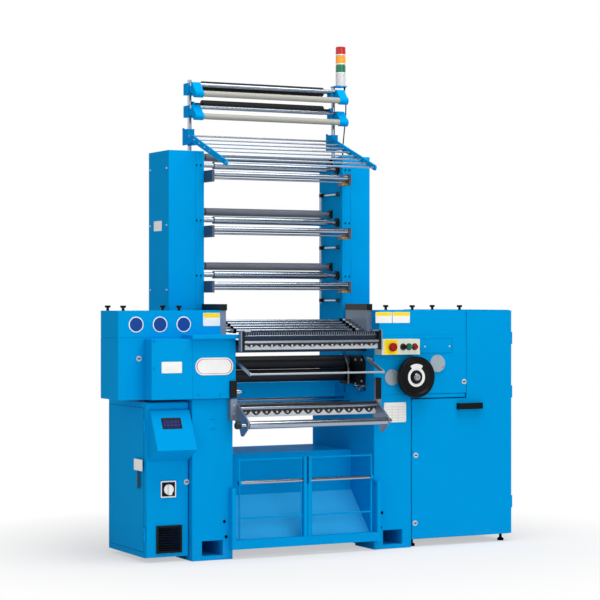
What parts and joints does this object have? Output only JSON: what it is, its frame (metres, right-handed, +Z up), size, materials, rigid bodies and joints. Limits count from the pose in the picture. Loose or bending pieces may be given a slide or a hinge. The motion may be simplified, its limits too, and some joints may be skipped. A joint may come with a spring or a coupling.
{
  "type": "crochet machine",
  "caption": "Blue floor-standing crochet machine that knits ribbons and elastic bands, with feed roller towers, a needle bed, take-down rollers and cabinets.",
  "frame": {"origin": "centre of the part's box, on the floor", "axes": "+X to the machine's right, +Y to its back, +Z up"},
  "size_m": [2.08, 0.8, 2.463],
  "materials": {
    "painted_blue": "smooth gloss blue coat",
    "chrome_plate": "bright plated and polished",
    "machined_steel": "ground steel",
    "black_plastic": "moulded, fine grain",
    "black_rubber": "ground rubber cover",
    "black_metal": "black coat",
    "cream_paint": "cream coat",
    "cast_grey": "grey primer",
    "red_plastic": "gloss moulded",
    "green_plastic": "gloss moulded",
    "white_plastic": "gloss moulded",
    "lamp_plastic": "moulded base and ribbed lenses",
    "screen_glass": "dark glossy panel"
  },
  "bodies": {
    "frame": {"left_frame": "painted_blue", "right_frame": "painted_blue", "rear_crossbeam": "painted_blue", "cloth_tray": "painted_blue", "tray_gate": "painted_blue", "left_head": "painted_blue", "left_front_cover": "painted_blue", "right_head": "painted_blue", "head_lids": "painted_blue", "control_cabinet": "painted_blue", "right_cabinet": "painted_blue", "left_tower": "painted_blue", "right_tower": "painted_blue", "feed_bearings": "machined_steel", "chrome_rods": "chrome_plate", "post_clamps": "painted_blue", "comb_brackets": "painted_blue", "tension_tubes": "cream_paint", "signal_lamp": "lamp_plastic", "lamp_cable": "black_plastic", "bar_brackets": "machined_steel", "needle_bed": "machined_steel", "eyelet_plates": "black_metal", "rack_arms": "machined_steel", "control_box": "cream_paint", "cover_knobs": "black_plastic", "drive_motor": "cast_grey"},
    "drive": {"handwheel": "black_plastic", "main_shaft": "machined_steel"},
    "press_roller_1": {"press_roller_1": "chrome_plate"},
    "drive_roller_1": {"drive_roller_1": "chrome_plate"},
    "rubber_roller_1": {"rubber_roller_1": "black_rubber"},
    "press_roller_2": {"press_roller_2": "chrome_plate"},
    "drive_roller_2": {"drive_roller_2": "chrome_plate"},
    "rubber_roller_2": {"rubber_roller_2": "black_rubber"},
    "press_roller_3": {"press_roller_3": "chrome_plate"},
    "drive_roller_3": {"drive_roller_3": "chrome_plate"},
    "rubber_roller_3": {"rubber_roller_3": "black_rubber"},
    "foam_roller_1": {"foam_roller_1": "black_rubber"},
    "foam_roller_2": {"foam_roller_2": "black_rubber"},
    "takedown_roller_1": {"takedown_roller_1": "black_rubber"},
    "takedown_roller_2": {"takedown_roller_2": "black_rubber"},
    "stop_bar": {"stop_bar": "machined_steel"},
    "rack_roller": {"rack_roller": "chrome_plate"},
    "estop_button": {"estop_button": "red_plastic"},
    "jog_button": {"jog_button": "black_plastic"},
    "start_button": {"start_button": "green_plastic"},
    "stop_button": {"stop_button": "red_plastic"},
    "control_door": {"control_door": "painted_blue", "touch_screen": "screen_glass", "vent_grille": "black_plastic"},
    "main_switch_knob": {"main_switch_knob": "white_plastic"},
    "right_door": {"right_door": "painted_blue", "door_handle": "black_plastic"},
    "weft_bar_1": {"weft_bar_1": "chrome_plate"},
    "weft_bar_2": {"weft_bar_2": "chrome_plate"},
    "weft_bar_3": {"weft_bar_3": "chrome_plate"},
    "weft_bar_4": {"weft_bar_4": "chrome_plate"},
    "weft_bar_5": {"weft_bar_5": "chrome_plate"},
    "needle_bar": {"needle_bar": "machined_steel"}
  },
  "joints": [
    {"name": "drive_turn", "type": "hinge", "parent": "frame", "child": "drive", "pos_m": [0.453, -0.245, 0.827], "axis": [0, -1, 0], "continuous": true},
    {"name": "press_roller_1_turn", "type": "hinge", "parent": "frame", "child": "press_roller_1", "pos_m": [-0.125, 0.002, 1.798], "axis": [1, 0, 0], "continuous": true},
    {"name": "drive_roller_1_turn", "type": "hinge", "parent": "frame", "child": "drive_roller_1", "pos_m": [-0.125, 0.128, 1.846], "axis": [1, 0, 0], "continuous": true},
    {"name": "rubber_roller_1_turn", "type": "hinge", "parent": "frame", "child": "rubber_roller_1", "pos_m": [-0.125, 0.202, 1.889], "axis": [1, 0, 0], "continuous": true},
    {"name": "press_roller_2_turn", "type": "hinge", "parent": "frame", "child": "press_roller_2", "pos_m": [-0.125, 0.002, 1.535], "axis": [1, 0, 0], "continuous": true},
    {"name": "drive_roller_2_turn", "type": "hinge", "parent": "frame", "child": "drive_roller_2", "pos_m": [-0.125, 0.128, 1.583], "axis": [1, 0, 0], "continuous": true},
    {"name": "rubber_roller_2_turn", "type": "hinge", "parent": "frame", "child": "rubber_roller_2", "pos_m": [-0.125, 0.202, 1.626], "axis": [1, 0, 0], "continuous": true},
    {"name": "press_roller_3_turn", "type": "hinge", "parent": "frame", "child": "press_roller_3", "pos_m": [-0.125, 0.002, 1.272], "axis": [1, 0, 0], "continuous": true},
    {"name": "drive_roller_3_turn", "type": "hinge", "parent": "frame", "child": "drive_roller_3", "pos_m": [-0.125, 0.128, 1.32], "axis": [1, 0, 0], "continuous": true},
    {"name": "rubber_roller_3_turn", "type": "hinge", "parent": "frame", "child": "rubber_roller_3", "pos_m": [-0.125, 0.202, 1.363], "axis": [1, 0, 0], "continuous": true},
    {"name": "foam_roller_1_turn", "type": "hinge", "parent": "frame", "child": "foam_roller_1", "pos_m": [-0.125, 0.209, 2.236], "axis": [1, 0, 0], "continuous": true},
    {"name": "foam_roller_2_turn", "type": "hinge", "parent": "frame", "child": "foam_roller_2", "pos_m": [-0.125, 0.209, 2.145], "axis": [1, 0, 0], "continuous": true},
    {"name": "takedown_roller_1_turn", "type": "hinge", "parent": "frame", "child": "takedown_roller_1", "pos_m": [-0.125, 0.003, 0.8978], "axis": [1, 0, 0], "continuous": true},
    {"name": "takedown_roller_2_turn", "type": "hinge", "parent": "frame", "child": "takedown_roller_2", "pos_m": [-0.125, 0.003, 0.8347], "axis": [1, 0, 0], "continuous": true},
    {"name": "stop_bar_swing", "type": "hinge", "parent": "frame", "child": "stop_bar", "pos_m": [-0.125, -0.227, 0.915], "axis": [1, 0, 0], "range_deg": [-25, 0]},
    {"name": "rack_roller_turn", "type": "hinge", "parent": "frame", "child": "rack_roller", "pos_m": [-0.125, -0.382, 0.626], "axis": [1, 0, 0], "continuous": true},
    {"name": "estop_button_press", "type": "slide", "parent": "frame", "child": "estop_button", "axis": [0, 1, 0], "range_m": [0, 0.004], "stiffness_N_per_m": 400},
    {"name": "jog_button_press", "type": "slide", "parent": "frame", "child": "jog_button", "axis": [0, 1, 0], "range_m": [0, 0.004], "stiffness_N_per_m": 400},
    {"name": "start_button_press", "type": "slide", "parent": "frame", "child": "start_button", "axis": [0, 1, 0], "range_m": [0, 0.004], "stiffness_N_per_m": 400},
    {"name": "stop_button_press", "type": "slide", "parent": "frame", "child": "stop_button", "axis": [0, 1, 0], "range_m": [0, 0.004], "stiffness_N_per_m": 400},
    {"name": "control_door_swing", "type": "hinge", "parent": "frame", "child": "control_door", "pos_m": [-0.9215, -0.202, 0.3], "axis": [0, 0, -1], "range_deg": [0, 110]},
    {"name": "main_switch_turn", "type": "hinge", "parent": "control_door", "child": "main_switch_knob", "pos_m": [-0.80925, -0.215, 0.333], "axis": [0, -1, 0], "range_deg": [0, 90]},
    {"name": "right_door_swing", "type": "hinge", "parent": "frame", "child": "right_door", "pos_m": [1.0355, -0.236, 0.5], "axis": [0, 0, 1], "range_deg": [0, 110]},
    {"name": "weft_bar_1_shift", "type": "slide", "parent": "frame", "child": "weft_bar_1", "axis": [1, 0, 0], "range_m": [-0.02, 0.02]},
    {"name": "weft_bar_2_shift", "type": "slide", "parent": "frame", "child": "weft_bar_2", "axis": [1, 0, 0], "range_m": [-0.02, 0.02]},
    {"name": "weft_bar_3_shift", "type": "slide", "parent": "frame", "child": "weft_bar_3", "axis": [1, 0, 0], "range_m": [-0.02, 0.02]},
    {"name": "weft_bar_4_shift", "type": "slide", "parent": "frame", "child": "weft_bar_4", "axis": [1, 0, 0], "range_m": [-0.02, 0.02]},
    {"name": "weft_bar_5_shift", "type": "slide", "parent": "frame", "child": "weft_bar_5", "axis": [1, 0, 0], "range_m": [-0.02, 0.02]},
    {"name": "needle_bar_stroke", "type": "slide", "parent": "frame", "child": "needle_bar", "axis": [0, 1, 0], "range_m": [0, 0.016]}
  ],
  "couplings": [
    {"joint": "drive_roller_2_turn", "follows": "drive_roller_1_turn", "ratio": 1},
    {"joint": "drive_roller_3_turn", "follows": "drive_roller_1_turn", "ratio": 1},
    {"joint": "takedown_roller_2_turn", "follows": "takedown_roller_1_turn", "ratio": -1.0833}
  ]
}
